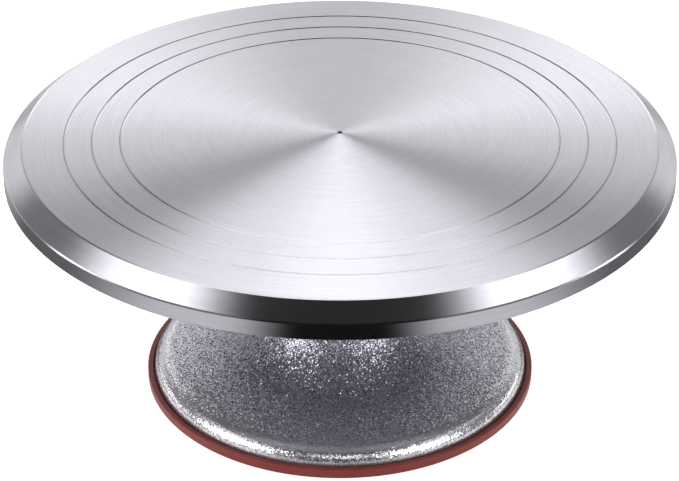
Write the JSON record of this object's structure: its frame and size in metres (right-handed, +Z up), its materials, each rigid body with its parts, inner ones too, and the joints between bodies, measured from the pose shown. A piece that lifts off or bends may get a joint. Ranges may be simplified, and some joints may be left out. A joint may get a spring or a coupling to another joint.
{
  "type": "cake turntable",
  "caption": "Revolving cake stand: round brushed aluminium plate with guide grooves, spinning on ball bearings in a flared hammertone pedestal with a silicone foot ring.",
  "frame": {"origin": "centre of the underside of the foot ring, on the axis the plate turns about", "axes": "+Z up along the plate's axis; every side looks the same, and -Y is taken as the front"},
  "size_m": [0.3048, 0.3048, 0.1265],
  "materials": {
    "plate_aluminium": "satin",
    "hammertone_casting": "satin",
    "foot_silicone": "matte",
    "turned_steel": "satin",
    "bearing_steel": "polished",
    "ball_steel": "polished",
    "cage_nylon": "matte",
    "shield_steel": "satin",
    "spring_steel": "satin",
    "black_steel": "satin",
    "zinc_steel": "satin",
    "insert_nylon": "matte"
  },
  "bodies": {
    "base": {"pedestal": "hammertone_casting", "foot_ring": "foot_silicone", "upper_outer_ring": "bearing_steel", "upper_shields": "shield_steel", "lower_outer_ring": "bearing_steel", "lower_shields": "shield_steel", "preload_washer": "spring_steel", "retaining_ring": "spring_steel"},
    "turntable": {"plate": "plate_aluminium", "spindle": "turned_steel", "hub_screws": "black_steel", "upper_inner_ring": "bearing_steel", "spacer_tube": "turned_steel", "lower_inner_ring": "bearing_steel", "nut_washer": "zinc_steel", "lock_nut": "zinc_steel", "nut_insert": "insert_nylon"},
    "upper_cage_set": {"upper_cage": "cage_nylon", "upper_balls": "ball_steel"},
    "lower_cage_set": {"lower_cage": "cage_nylon", "lower_balls": "ball_steel"}
  },
  "joints": [
    {"name": "plate_spin", "type": "hinge", "parent": "base", "child": "turntable", "pos_m": [0, 0, 0.1065], "axis": [0, 0, 1], "continuous": true},
    {"name": "upper_cage_spin", "type": "hinge", "parent": "base", "child": "upper_cage_set", "pos_m": [0, 0, 0.1065], "axis": [0, 0, 1], "continuous": true},
    {"name": "lower_cage_spin", "type": "hinge", "parent": "base", "child": "lower_cage_set", "pos_m": [0, 0, 0.06], "axis": [0, 0, 1], "continuous": true}
  ],
  "couplings": [
    {"joint": "upper_cage_spin", "follows": "plate_spin", "ratio": 0.38094},
    {"joint": "lower_cage_spin", "follows": "plate_spin", "ratio": 0.38094}
  ]
}
